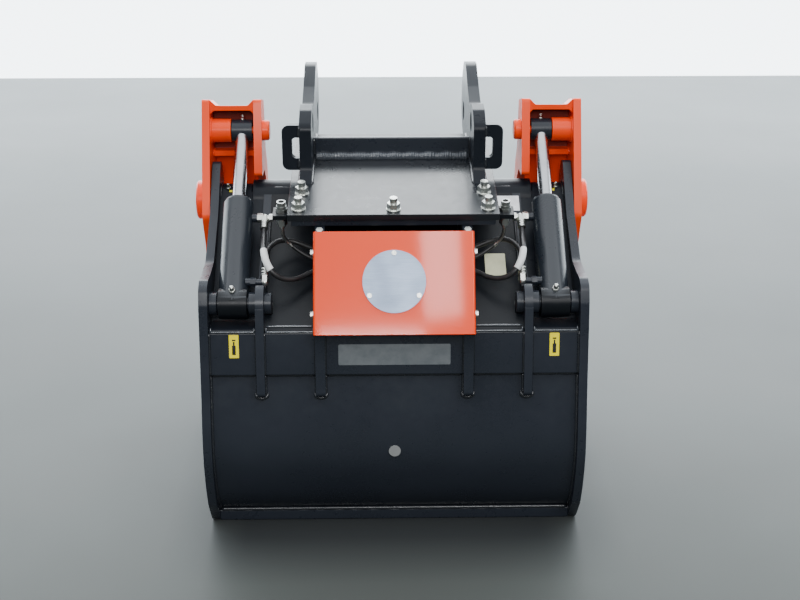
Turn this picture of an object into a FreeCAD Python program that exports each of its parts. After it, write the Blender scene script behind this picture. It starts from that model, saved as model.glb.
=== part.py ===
import FreeCAD, Part
import math, os
from FreeCAD import Vector as V

# Four-in-one bucket, millimetres, +Z up, +Y from the back of the shell to the mouth.
# Side views are drawn in a side frame whose y starts at the rearmost edge of the shell;
# every body's Placement moves it back by half of the overall depth.
doc = FreeCAD.newDocument("four_in_one_bucket")
sheet = doc.addObject("Spreadsheet::Sheet", "dims")
D = {}
ROWS = [
    ("overall_depth", 780.0), ("half_depth", 390.73), ("half_width", 400.0), ("side_plate_t", 18.0),
    ("rib_t", 20.0), ("outer_rib_x", 268.0), ("outer_rib_t", 17.0), ("inner_rib_x", 143.0),
    ("pivot_y", 405.0), ("pivot_z", 640.0), ("pivot_pin_r", 20.0),
    ("rodpin_y", 430.0), ("rodpin_z", 793.0), ("rodpin_r", 15.0), ("rodpin_waist_r", 8.5),
    ("base_y", 97.0), ("base_z", 507.0), ("base_pin_r", 15.0),
    ("cyl_x", 333.0), ("barrel_r", 32.0), ("barrel_bore_r", 25.0), ("rod_r", 14.98), ("piston_r", 24.93),
    ("tube_r", 44.45), ("tube_bore_r", 34.0), ("tube_half", 310.5), ("boss_r", 36.0), ("lobe_r", 52.0),
    ("lug_r", 42.0), ("sheet_t", 10.0), ("cover_half", 165.7), ("cover_t", 2.5),
    ("hitch_t", 15.0), ("flange_t", 12.0), ("hitch_half", 220.0), ("hitch_slope_deg", 10.7),
    ("ear_x", 174.0), ("ear_t", 26.0), ("ear_bore_r", 22.5),
    ("arm_outer_x", 402.0), ("arm_outer_t", 17.0), ("arm_inner_x", 288.0), ("arm_inner_t", 18.0),
    ("hose_r", 5.5), ("edge_t", 20.0), ("floor_t", 12.0), ("disc_r", 65.0), ("disc_t", 3.0),
]
for i, (alias, val) in enumerate(ROWS, 1):
    sheet.set("A%d" % i, alias)
    sheet.set("B%d" % i, str(val))
    sheet.setAlias("B%d" % i, alias)
    D[alias] = val
doc.recompute()

HALF = D["half_depth"]
P = (D["pivot_y"], D["pivot_z"])
R = (D["rodpin_y"], D["rodpin_z"])
B = (D["base_y"], D["base_z"])
ANG = math.atan2(R[1] - B[1], R[0] - B[0])
CA, SA = math.cos(ANG), math.sin(ANG)
BR = math.hypot(R[0] - B[0], R[1] - B[1])
SLOPE = math.radians(D["hitch_slope_deg"])
HT = (math.cos(SLOPE), math.sin(SLOPE))
HN = (-math.sin(SLOPE), math.cos(SLOPE))
HTOP = (142.0, 684.0)


def hp(along, up):
    """Point in the side frame, along the hitch plate's top and above it."""
    return (HTOP[0] + along * HT[0] + up * HN[0], HTOP[1] + along * HT[1] + up * HN[1])


def polar(c, r, deg):
    a = math.radians(deg)
    return (c[0] + r * math.cos(a), c[1] + r * math.sin(a))


def contour(pts):
    """Closed outline of lines with rounded corners; a point is (u, v) or (u, v, radius)."""
    n = len(pts)
    segs, ends = [], []
    for i in range(n):
        p0, p1, p2 = pts[i - 1], pts[i], pts[(i + 1) % n]
        r = p1[2] if len(p1) > 2 else 0
        a, b, c = V(p0[0], p0[1], 0), V(p1[0], p1[1], 0), V(p2[0], p2[1], 0)
        if r <= 0:
            ends.append((b, b, None))
            continue
        d1, d2 = (a - b).normalize(), (c - b).normalize()
        ang = math.acos(max(-1, min(1, d1.dot(d2))))
        if math.pi - ang < 0.02:
            ends.append((b, b, None))
            continue
        cut = r / math.tan(ang / 2)
        lim = 0.48 * min((a - b).Length, (c - b).Length)
        if cut > lim:
            cut = lim
            r = cut * math.tan(ang / 2)
        s, e = b + d1 * cut, b + d2 * cut
        mid = (d1 + d2).normalize()
        cen = b + mid * (r / math.sin(ang / 2))
        ends.append((s, e, cen - mid * r))
    for i in range(n):
        s, e, m = ends[i]
        if m is not None:
            segs.append(Part.Arc(s, m, e))
        nx = ends[(i + 1) % n][0]
        if (nx - e).Length > 1e-6:
            segs.append(Part.LineSegment(e, nx))
    return segs


def arcpts(c, r, a0, a1, n):
    return [polar(c, r, a0 + (a1 - a0) * i / n) for i in range(n + 1)]


def origin(body, role):
    return [f for f in body.Origin.OriginFeatures if getattr(f, "Role", "") == role][0]


def add_sketch(body, role, offset, geo, circles=(), expr=None):
    sk = body.newObject("Sketcher::SketchObject", body.Name + "_sk")
    sk.AttachmentSupport = [(origin(body, role), "")]
    sk.MapMode = "FlatFace"
    sk.AttachmentOffset = FreeCAD.Placement(V(0, 0, offset), FreeCAD.Rotation())
    if expr:
        sk.setExpression("AttachmentOffset.Base.z", expr)
    if geo:
        sk.addGeometry(geo, False)
    for (cy, cz, r, rexpr) in circles:
        gi = sk.addGeometry(Part.Circle(V(cy, cz, 0), V(0, 0, 1), r), False)
        import Sketcher
        ci = sk.addConstraint(Sketcher.Constraint("Radius", gi, r))
        if rexpr:
            sk.setExpression("Constraints[%d]" % ci, rexpr)
    return sk


BODIES = []


def new_body(name, shifted=True):
    b = doc.addObject("PartDesign::Body", name)
    b.Label = name
    if shifted:
        b.Placement = FreeCAD.Placement(V(0, -HALF, 0), FreeCAD.Rotation())
        b.setExpression("Placement.Base.y", "-dims.half_depth")
    return b


def plate(name, pts, x0, t, circles=(), x_expr=None, t_expr=None, keep=True):
    """A plate cut to a side outline, from X = x0 over its thickness t."""
    b = new_body(name)
    geo = pts if (pts and not isinstance(pts[0], tuple)) else contour(pts)
    sk = add_sketch(b, "YZ_Plane", x0, geo, circles, x_expr)
    pad = b.newObject("PartDesign::Pad", name + "_pad")
    pad.Profile = sk
    pad.Length = t
    if t_expr:
        pad.setExpression("Length", t_expr)
    b.Tip = pad
    if keep:
        BODIES.append(b)
    return b


def pair(name, pts, x0, t, circles=(), x_alias=None, t_alias=None):
    """The same plate on the left (-X) and the right (+X) side."""
    te = "dims." + t_alias if t_alias else None
    plate(name + "_right", pts, x0, t, circles, "dims." + x_alias if x_alias else None, te)
    plate(name + "_left", pts, -x0 - t, t, circles,
          "-dims.%s - dims.%s" % (x_alias, t_alias) if x_alias and t_alias else None, te)


def turned(name, prof, place, angle_body=False, keep=True):
    """A turned piece: profile (axial, radius) turned about its own X, then placed."""
    b = doc.addObject("PartDesign::Body", name)
    b.Label = name
    sk = add_sketch(b, "XY_Plane", 0, contour(prof))
    rev = b.newObject("PartDesign::Revolution", name + "_rev")
    rev.Profile = sk
    rev.ReferenceAxis = (sk, ["H_Axis"])
    rev.Angle = 360
    b.Tip = rev
    b.Placement = place
    if keep:
        BODIES.append(b)
    return b


def at(y, z, x=0.0):
    return FreeCAD.Placement(V(x, y - HALF, z), FreeCAD.Rotation())


def feature(name, shape):
    f = doc.addObject("Part::Feature", name)
    f.Label = name
    own = shape.Placement
    f.Shape = shape
    f.Placement = FreeCAD.Placement(V(0, -HALF, 0), FreeCAD.Rotation()).multiply(own)
    BODIES.append(f)
    return f


def group(name, members):
    """Several like pieces kept as separate solids under one name."""
    c = doc.addObject("Part::Compound", name)
    c.Label = name
    c.Links = members
    for m in members:
        BODIES.remove(m)
    BODIES.append(c)
    return c


def both(name, shape):
    """The same piece on the right, and mirrored on the left, under one name."""
    feature(name, Part.makeCompound([shape, shape.mirror(V(0, 0, 0), V(1, 0, 0))]))


def cyl(p, d, r, h, r_in=0):
    c = Part.makeCylinder(r, h, V(*p), V(*d))
    if r_in:
        c = c.cut(Part.makeCylinder(r_in, h + 2, V(*p) - V(*d).normalize(), V(*d)))
    return c


def prism(pts, x0, t):
    w = Part.Wire([g.toShape() for g in contour(pts)])
    f = Part.Face(w)
    f.translate(V(0, 0, 0))
    s = f.extrude(V(0, 0, t))
    s.transformShape(FreeCAD.Matrix(0, 0, 1, x0, 1, 0, 0, 0, 0, 1, 0, 0, 0, 0, 0, 1))
    return s


def hexprism(p, d, af, h):
    d = V(*d).normalize()
    u = V(1, 0, 0) if abs(d.x) < 0.9 else V(0, 1, 0)
    u = (u - d * u.dot(d)).normalize()
    w = d.cross(u)
    rr = af / math.sqrt(3)
    q = [V(*p) + u * (rr * math.cos(math.radians(60 * i))) + w * (rr * math.sin(math.radians(60 * i))) for i in range(7)]
    return Part.Face(Part.makePolygon(q)).extrude(d * h)


# ---- side outline of the shell ---------------------------------------------------------
REAR = [(88, 0, 22), (67, 23, 30), (33, 67, 80), (14, 117, 120), (0, 182, 160), (6, 253, 200), (21, 320, 250), (38, 421, 300)]
PART_DIR = ((118.0 - P[0]) / math.hypot(118 - P[0], P[1]), (0 - P[1]) / math.hypot(118 - P[0], P[1]))


def parting(z, gap=0.0):
    return (118.0 + (P[0] - 118.0) * z / P[1] + gap, z)


lobe = D["lobe_r"]
side = [parting(0)] + REAR + [(53, 518, 30), (66, 552, 25), (90, 562, 20), (124, 560, 25), (196, 563, 60), (311, 636, 120),
       (385, 711, 40), (403, 729, 14), (428, 722, 25)] + arcpts(P, lobe, 25, -40, 7) + [polar(P, lobe, -75), (P[0] + PART_DIR[0] * lobe, P[1] + PART_DIR[1] * lobe)]
pair("side_plate", side, D["half_width"] - D["side_plate_t"], D["side_plate_t"],
     [(P[0], P[1], D["pivot_pin_r"] + 0.06, "dims.pivot_pin_r + 0.06"), (B[0], B[1], D["base_pin_r"] + 0.05, "dims.base_pin_r + 0.05")])
for b in BODIES:
    sk = [o for o in b.Group if o.TypeId == "Sketcher::SketchObject"][0]
    sk.setExpression("AttachmentOffset.Base.z", "dims.half_width - dims.side_plate_t" if b.Name.endswith("right") else "-dims.half_width")
    [o for o in b.Group if o.TypeId == "PartDesign::Pad"][0].setExpression("Length", "dims.side_plate_t")

# ---- belly skin, box beam, back plate ---------------------------------------------------
# outer line of the belly, bottom to top, then its inner line offset by the sheet
BELLY = [(96.0, 25.3), (80.0, 42.0), (53.0, 80.0), (35.5, 124.0), (23.0, 182.0), (27.5, 250.0), (42.0, 318.0), (56.0, 380.0), (66.0, 448.0)]


def dense(pts, n=8):
    c = Part.BSplineCurve()
    c.interpolate([V(p[0], p[1], 0) for p in pts])
    a, b = c.FirstParameter, c.LastParameter
    out = []
    m = n * (len(pts) - 1)
    for i in range(m + 1):
        t = a + (b - a) * i / m
        q, tg = c.value(t), c.tangent(t)[0]
        out.append((q.x, q.y, tg.y, -tg.x))
    return out


dn = dense(BELLY, 2)
outer = [V(p[0], p[1], 0) for p in dn]
inner = [V(p[0] + p[2] * 10.0, p[1] + p[3] * 10.0, 0) for p in dn]
inner[0] = V(inner[0].x + 1.5, 25.3, 0)
co, ci = Part.BSplineCurve(), Part.BSplineCurve()
co.interpolate(outer)
ci.interpolate(inner[::-1])
skin_geo = [co, Part.LineSegment(outer[-1], inner[-1]), ci, Part.LineSegment(inner[0], outer[0])]
skin = plate("shell_skin", skin_geo, -381.9, 763.8)
hole_sk = add_sketch(skin, "XZ_Plane", 0, [], [(0, 202, 11.2, None)])
hole = skin.newObject("PartDesign::Pocket", "shell_skin_drain")
hole.Profile = hole_sk
hole.Length = 60
skin.Tip = hole
plate("rear_blade", [(86, 0, 3), parting(0, -0.5), parting(25, -0.5), (86, 25, 3)], -381.9, 763.8)


def belly_out(z, off=0.0):
    """y on the outer face of the belly at height z."""
    for a, b in zip(dn, dn[1:]):
        if a[1] <= z <= b[1]:
            f = (z - a[1]) / (b[1] - a[1])
            return a[0] + (b[0] - a[0]) * f - off
    return dn[-1][0] - off


# plug in the drain hole, its flange outside on the belly
py = belly_out(202)
feature("drain_plug", cyl((0, py - 3.3, 202), (0, 1, 0), 12.5, 2.4).fuse(cyl((0, py - 2, 202), (0, 1, 0), 11.1, 16)).removeSplitter())
beam = [(41, 368, 3), (55.5, 458, 4), (77, 458), (77, 448.3), (63.6, 448.3), (52.6, 380), (belly_out(380) - 0.5, 380), (belly_out(368) - 0.5, 368)]
plate("box_beam", beam, -381.9, 763.8)

# main sloped plate between the outer ribs and the lower plates under the cylinders
TS = (math.cos(math.radians(32.9)), math.sin(math.radians(32.9)))
NS = (-TS[1], TS[0])


def bp(along, up=0.0):
    return (56.0 + along * TS[0] + up * NS[0], 462.0 + along * TS[1] + up * NS[1])


LEN = (383.2 - 56) / TS[0]
main = [(57.2, 459.7), bp(1.4, 0), bp(LEN + 4, 0), bp(LEN + 4, -12), (74.6, 459.7)]
main_shape = prism(main, -267.8, 535.6).cut(cyl((-300, P[0], P[1]), (1, 0, 0), 44.8, 600))
for sg in (1, -1):
    main_shape = main_shape.cut(cyl((sg * 252, B[0], B[1]), (sg, 0, 0), 23.5, 17))
feature("back_plate", main_shape)
bay = [(58, 458.3), (58, 464, 3), (112, 464, 20), polar(P, 36.5, 137.0), polar(P, 36.5, 147), polar(P, 36.5, 156), polar(P, 36.5, 166), (121, 450.5, 20), (81, 448.5), (81, 458.3)]
bay_shape = prism(bay, 285.3, 96.4)
bay_shape = bay_shape.cut(cyl((280, P[0], P[1]), (1, 0, 0), 44.9, 30.9))
both("cylinder_wells", bay_shape)

# ---- cross tube and pivot bosses ---------------------------------------------------------
tb = turned("cross_tube", [(-310.5, 34), (-310.5, 44.45), (310.5, 44.45), (310.5, 34)], at(*P))
boss = [(311, 20.06), (311, 33), (314, 36), (381.8, 36), (381.8, 20.06)]
group("pivot_bosses", [turned("pivot_boss_a", boss, at(*P)), turned("pivot_boss_b", [(-a, r) for a, r in boss][::-1], at(*P))])

# ---- ribs -------------------------------------------------------------------------------
ribrear = [(belly_out(325, 0.5), 325), (34, 321, 8), (21.6, 330, 10), (38, 421, 300)]
orib = ribrear + [(53, 512, 30)] + arcpts(B, D["lug_r"], 178, 98, 7) + arcpts(B, 34.4, 88, 46, 3) + [bp(140, 0.0), bp(LEN - 24, 0.0)] + \
    [polar(P, 45.8, 150), polar(P, 45.8, 160), polar(P, 45.8, 171), polar(P, 45.8, 185), polar(P, 45.8, 200), (330, 590, 20), (130, 462, 20), (82, 459), (78, 458.6), (55.0, 458.6), (40.4, 367.4), (belly_out(367, 0.5), 367.4), (belly_out(345, 0.5), 345)]
pair("outer_rib", orib, D["outer_rib_x"], D["outer_rib_t"], [(B[0], B[1], D["base_pin_r"] + 0.05, "dims.base_pin_r + 0.05")], "outer_rib_x", "outer_rib_t")
irib = ribrear + [(32, 470, 10), (117, 641, 8), hp(8, -27.2), hp(388, -27.2), (480, 690, 30)] + arcpts(P, 47.0, 20, 116, 6) + [bp(LEN - 26, 0.4), bp(0.6, 0.4), (54.9, 460.5), (54.9, 458.6), (40.4, 367.4), (belly_out(367, 0.5), 367.4), (belly_out(345, 0.5), 345)]
hole_hi, hole_lo = (196, 586), (155.5, 560.5)
ir = prism(irib, D["inner_rib_x"], D["rib_t"])
for h in (hole_hi, hole_lo):
    ir = ir.cut(cyl((130, h[0], h[1]), (1, 0, 0), 16, 60))
both("inner_ribs", ir)

# ---- hitch ------------------------------------------------------------------------------
plate("top_flange", [hp(2, -27), hp(2, -15), hp(396, -15), hp(396, -27)], -212, 424)
BOLTS = [(-197, 26), (-193, 97), (197, 26), (193, 97), (0, 22)]
hplate = prism([hp(0, -15), hp(0, 0), hp(400, 0), hp(400, -15)], -220, 440)
feature("hitch_plate", hplate)
ear = [hp(139.5, 0.0), (300, 738, 22), (300, 831, 22), (345, 857, 30), (392, 862, 40), (440, 840, 60), (520, 872, 80), (596, 909, 45), (660, 905, 60),
       (715, 850, 60), (716, 782, 45), (690, 745, 35), (640, 726, 60), (575, 742, 20), hp(405, 0.0)]
ears_c = [(392, 819, D["ear_bore_r"], "dims.ear_bore_r"), (636, 789, D["ear_bore_r"], "dims.ear_bore_r")]
pair("hitch_ear", ear, D["ear_x"], D["ear_t"], ears_c, "ear_x", "ear_t")
both("ear_bosses", cyl((200, 636, 789), (1, 0, 0), 42, 6, D["ear_bore_r"]))
cross = [(411, 684 + (411 - 142) * HT[1] / HT[0]), (411, 780, 3), (423, 780, 3), (423, 684 + (423 - 142) * HT[1] / HT[0])]
plate("hitch_cross_bar", cross, -173.9, 347.8)


def eye_plate():
    """C-shaped plate welded to the ear's outer face; ear and plate close the eye."""
    e = Part.makeBox(36.8, 20, 98, V(200.2, 302, 736))
    e = e.makeFillet(15, [ed for ed in e.Edges if abs(ed.Vertexes[0].X - 237) < .1 and abs(ed.Vertexes[1].X - 237) < .1 and abs(ed.Vertexes[0].Z - ed.Vertexes[1].Z) < .1])
    slot = Part.makeBox(18, 30, 45, V(198, 297, 762))
    slot = slot.makeFillet(8, [ed for ed in slot.Edges if abs(ed.Vertexes[0].X - 216) < .1 and abs(ed.Vertexes[1].X - 216) < .1 and abs(ed.Vertexes[0].Z - ed.Vertexes[1].Z) < .1])
    return e.cut(slot)


both("lifting_eyes", eye_plate())
fast = []
for (bx, al) in BOLTS:
    y, z = hp(al, 0.0)
    w = cyl((bx, y, z), (0, HN[0], HN[1]), 15, 3)
    y1, z1 = hp(al, 3.0)
    nut = hexprism((bx, y1, z1), (0, HN[0], HN[1]), 24, 13).fuse(cyl((bx, y1, z1), (0, HN[0], HN[1]), 8, 25))
    fast.append(w.fuse(nut).removeSplitter())
feature("hitch_fasteners", Part.makeCompound(fast))

# ---- cylinder base pins -------------------------------------------------------------------
prof = [(254, 0), (254, 22.5), (267.8, 22.5), (267.8, 14.98), (399.5, 14.98), (399.5, 0)]
group("base_pins", [turned("base_pin_" + nm, [(sgn * a, r) for a, r in prof][::sgn], at(*B)) for sgn, nm in ((1, "a"), (-1, "b"))])
sp = []
for sgn in (1, -1):
    sp.append(cyl((sgn * 285.2, B[0], B[1]), (sgn, 0, 0), 24, 15.3, 15.05))
    sp.append(cyl((sgn * 365.6, B[0], B[1]), (sgn, 0, 0), 24, 16.2, 15.05))
feature("base_pin_spacers", Part.makeCompound(sp))

# ---- hydraulic cylinders --------------------------------------------------------------------


LD = (0, math.cos(math.radians(60)), math.sin(math.radians(60)))


def cyl_place(sgn):
    e1, e3 = V(0, CA, SA), V(1, 0, 0)
    e2 = e3.cross(e1)
    return FreeCAD.Placement(V(sgn * D["cyl_x"], B[0] - HALF, B[1]), FreeCAD.Rotation(e1, e2, e3, "XYZ"))


def cross_hole(b, x, r, half, rexpr=None):
    sk = add_sketch(b, "XY_Plane", -half, [], [(x, 0, r, rexpr)])
    pk = b.newObject("PartDesign::Pocket", b.Name + "_bore")
    pk.Profile = sk
    pk.Length = 2 * half
    pk.Reversed = True
    b.Tip = pk


def cross_pad(b, x, r, half):
    sk = add_sketch(b, "XY_Plane", -half, [], [(x, 0, r, None)])
    pd = b.newObject("PartDesign::Pad", b.Name + "_eye")
    pd.Profile = sk
    pd.Length = 2 * half
    b.Tip = pd


for sgn, nm in ((1, "right"), (-1, "left")):
    pl = cyl_place(sgn)
    br = turned("barrel_" + nm, [(-9, 0), (-9, 32, 0), (243, 32), (243, 25), (26, 25), (26, 0)], pl)
    cross_pad(br, 0, 32, 29.5)
    cross_hole(br, 0, D["base_pin_r"] + 0.06, 40, "dims.base_pin_r + 0.06")
    turned("gland_" + nm, [(220, 15.06), (220, 24.97), (243.2, 24.97), (243.2, 30.5), (250, 29.0), (250, 15.06)], pl)
    rd = turned("piston_rod_" + nm, [(190, 0), (190, 24.93), (214, 24.93), (214, 14.98), (BR - 10, 14.98), (BR - 10, 0)], pl)
    cross_pad(rd, BR, 24, 22.5)
    cross_hole(rd, BR, 19.2, 30)
    # grease nipple on the rod eye's end, ports and fittings on the barrel
    s = sgn

    def cp(a, up, x):
        return (s * x, B[0] + a * CA - up * SA, B[1] + a * SA + up * CA)
    e1 = (0, CA, SA)
    top = cyl(cp(208, 0, 306), (-s, 0, 0), 9, 16).fuse(hexprism(cp(208, 0, 291), (-s, 0, 0), 19, 12)).fuse(cyl(cp(208, 0, 280), (-s, 0, 0), 7, 5))
    top = top.fuse(Part.makeSphere(8.4, V(*cp(208, 0, 275.5))))
    dn_dir = (0, -TS[0], -TS[1])
    q = cp(208, 0, 275.5)
    top = top.fuse(hexprism(q, dn_dir, 16, 14)).fuse(cyl((q[0], q[1] - 13 * TS[0], q[2] - 13 * TS[1]), dn_dir, 7.6, 17))
    top = top.fuse(cyl(cp(208, 0, 275.5), (-s, 0, 0), 6.2, 10)).fuse(hexprism(cp(208, 0, 266), (-s, 0, 0), 16, 8))
    lo = cyl(cp(40.6, 18, 308), (-s, 0, 0), 8, 22).fuse(hexprism(cp(40.6, 18, 298), (-s, 0, 0), 17, 11)).fuse(cyl(cp(40.6, 18, 288), (-s, 0, 0), 6.5, 20))
    lo = lo.fuse(Part.makeSphere(8.3, V(*cp(40.6, 18, 268))))
    q = cp(40.6, 18, 268)
    lo = lo.fuse(hexprism(q, LD, 16, 14)).fuse(cyl((q[0], q[1] + 13 * LD[1], q[2] + 13 * LD[2]), LD, 7.6, 17))
    feature("port_fittings_" + nm, top.cut(Part.makeCylinder(32.1, 320, V(*cp(-40, 0, 333)), V(*e1))).fuse(lo.cut(Part.makeCylinder(32.1, 320, V(*cp(-40, 0, 333)), V(*e1)))))

# ---- cover over the valves --------------------------------------------------------------------
CF, CT = (17.0, 467.5), (117.0, 656.4)
cl = math.hypot(CT[0] - CF[0], CT[1] - CF[1])
ct = ((CT[0] - CF[0]) / cl, (CT[1] - CF[1]) / cl)
cn = (-ct[1], ct[0])


def cv(along, up=0.0):
    return (CF[0] + along * ct[0] + up * cn[0], CF[1] + along * ct[1] + up * cn[1])


def folded(half, depth, r, z_top, y0, y1):
    """Box under the cover's plane with its two long upper edges rounded."""
    f = Part.makeBox(2 * half, y1 - y0, depth, V(-half, y0, z_top - depth))
    return f.makeFillet(r, [e for e in f.Edges if all(abs(v.Z - z_top) < .01 for v in e.Vertexes) and abs(e.Vertexes[0].X - e.Vertexes[1].X) < .01])


ch, cth = D["cover_half"], D["cover_t"]
cover = folded(ch, 30, 5.0, 0, 0, cl).cut(folded(ch - cth, 30, 2.5, -cth, -1, cl + 1)).fuse(Part.makeBox(284, cth, 16, V(-142, 0, -16)))
cover = cover.removeSplitter()
cover.transformShape(FreeCAD.Matrix(1, 0, 0, 0, 0, ct[0], cn[0], CF[0], 0, ct[1], cn[1], CF[1], 0, 0, 0, 1))
feature("valve_cover", cover)
DISC = 109.3
dc = cv(DISC, 0.2)
feature("cover_disc", cyl((0, dc[0], dc[1]), (0, cn[0], cn[1]), D["disc_r"], D["disc_t"]))
scr = []
for a in (90, 210, 330):
    sx, sa = 58.5 * math.cos(math.radians(a)), DISC + 58.5 * math.sin(math.radians(a))
    q = cv(sa, 3.4)
    scr.append(cyl((sx, q[0], q[1]), (0, cn[0], cn[1]), 5.0, 2.6))
for sg in (1, -1):
    for sa in (44, 172):
        q = cv(sa, -17)
        scr.append(hexprism((sg * 165.9, q[0], q[1]), (sg, 0, 0), 13, 6).fuse(cyl((sg * 165.9, q[0], q[1]), (sg, 0, 0), 8.5, 1.6)).removeSplitter())
    scr.append(hexprism((sg * 153, 134, 649.2), (0, -0.423, 0.906), 13, 8).fuse(cyl((sg * 153, 134, 649.2), (0, -0.423, 0.906), 8.5, 1.6)).removeSplitter())
feature("cover_screws", Part.makeCompound(scr))

# ---- valves and fittings -------------------------------------------------------------------------
blk = prism([bp(48, 0.3), bp(186, 0.3), (212, 612, 3), (105, 612, 3)], -70, 140)
feature("manifold_block", blk)
cart = [cyl((x, 140, 612.2), (0, 0, 1), 14, 8).fuse(cyl((x, 140, 619), (0, 0, 1), 11, 24)) for x in (-38, 38)]
feature("valve_cartridges", Part.makeCompound(cart))
fit = []
for sgn in (1, -1):
    for fy, fz in ((190, 585), (150, 560)):
        fit.append(hexprism((sgn * 70.2, fy, fz), (sgn, 0, 0), 19, 12).fuse(cyl((sgn * 80, fy, fz), (sgn, 0, 0), 7, 14)))
feature("manifold_fittings", Part.makeCompound(fit))
for sgn, nm in ((1, "right"), (-1, "left")):
    y0, z0 = hp(4, -14)
    bk = prism([hp(4, -14), hp(4, -4), hp(44, -4), hp(44, -14)], 220.3, 30).cut(cyl((232.4, *hp(24, -30)), (0, *HN), 10.2, 60))
    if sgn > 0:
        both("coupler_brackets", bk)
    x = sgn * 232.4

    def q(u):
        return (x, *hp(24, u))
    dd = (0, *HN)
    qc = cyl(q(-40), dd, 7, 30).fuse(hexprism(q(-34), dd, 20, 12)).fuse(cyl(q(-22), dd, 10, 22)).fuse(hexprism(q(-3.8), dd, 21, 7)).fuse(cyl(q(3), dd, 10.5, 7)).fuse(cyl(q(10), dd, 9.6, 9)).cut(cyl(q(9), dd, 6, 30))
    if sgn > 0:
        both("quick_couplers", qc.removeSplitter())

# ---- hoses: straight runs joined by tangent arcs ----------------------------------------------------


def tube(pts, r, label):
    pts = [V(*p) for p in pts]
    edges, cur, radii = [], pts[0], []
    for a, b, c in zip(pts, pts[1:], pts[2:]):
        d1, d2 = (a - b), (c - b)
        l1, l2 = d1.Length, d2.Length
        d1.normalize(); d2.normalize()
        turn = math.pi - math.acos(max(-1, min(1, d1.dot(d2))))
        cut = 0.45 * min(l1, l2)
        rad = cut / math.tan(max(turn, 1e-4) / 2)
        radii.append(round(rad, 1))
        s, e = b + d1 * cut, b + d2 * cut
        mid = (d1 + d2).normalize()
        cen = b + mid * math.hypot(cut, rad)
        edges.append(Part.LineSegment(cur, s).toShape())
        edges.append(Part.Arc(s, cen - mid * rad, e).toShape())
        cur = e
    edges.append(Part.LineSegment(cur, pts[-1]).toShape())
    w = Part.Wire(edges)
    t = (pts[1] - pts[0]).normalize()
    sec = Part.Wire([Part.Circle(pts[0], t, r).toShape()])
    sh = w.makePipeShell([sec], True, False)
    exp = math.pi * r * r * w.Length
    print("hose", label, "length", round(w.Length, 1), "least radius", min(radii), "volume ratio", round(sh.Volume / exp, 4))
    return sh


def cpt(a, up, x):
    return (x, B[0] + a * CA - up * SA, B[1] + a * SA + up * CA)


u0 = cpt(208, 0, 275.5)
U = [(u0[0], u0[1] - 31.0 * TS[0], u0[2] - 31.0 * TS[1]), (275.2, 205, 612.5), (273.5, 172, 612.0), (270.5, 141, 606), (264, 116, 590), (250, 106, 569), (228, 112, 553.5),
     (200, 128, 549), (174, 149, 556), (148, 157, 562), (121, 154, 562.5), (95.2, 150, 560)]
l0 = cpt(40.6, 18, 268)
L = [(l0[0], l0[1] + 30.7 * LD[1], l0[2] + 30.7 * LD[2]), (268, l0[1] + 46 * LD[1], l0[2] + 46 * LD[2]), (267.5, 156, 597.5), (261, 178, 603), (249, 197, 608), (232, 210, 608),
     (208, 215, 602), (182, 207, 593.5), (154, 197, 586.5), (125, 191, 584), (94.6, 190, 585)]
for sgn, nm in ((1, "right"), (-1, "left")):
    for lab, pts in (("hose_upper_", U), ("hose_lower_", L)):
        feature(lab + nm, tube([(sgn * p[0], p[1], p[2]) for p in pts], D["hose_r"], lab + nm))
    # steel feed pipe from the coupler, bent into the side of the rib
    pipe = [(232.4, *hp(24, -41.5)), (232.4, 180, 628), (225, 190, 611), (210, 191, 597), (189, 185, 583.5), (165.8, 178, 573.6)]
    if sgn > 0:
        both("feed_pipes", tube([(sgn * p[0], p[1], p[2]) for p in pipe], 4.0, "feed_pipe"))
# blank data plate on the sloped plate
feature("data_plate", prism([bp(318, 0.15), bp(318, 1.15), bp(361, 1.15), bp(361, 0.15)], 229, 52))

# grease nipples on the shell: one on each pivot boss
gn = [cyl((sg * 366, P[0] - 36.2 * 0.5, P[1] + 36.2 * 0.866), (0, -0.5, 0.866), 3.5, 9) for sg in (1, -1)]
feature("shell_grease_nipples", Part.makeCompound(gn))

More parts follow.
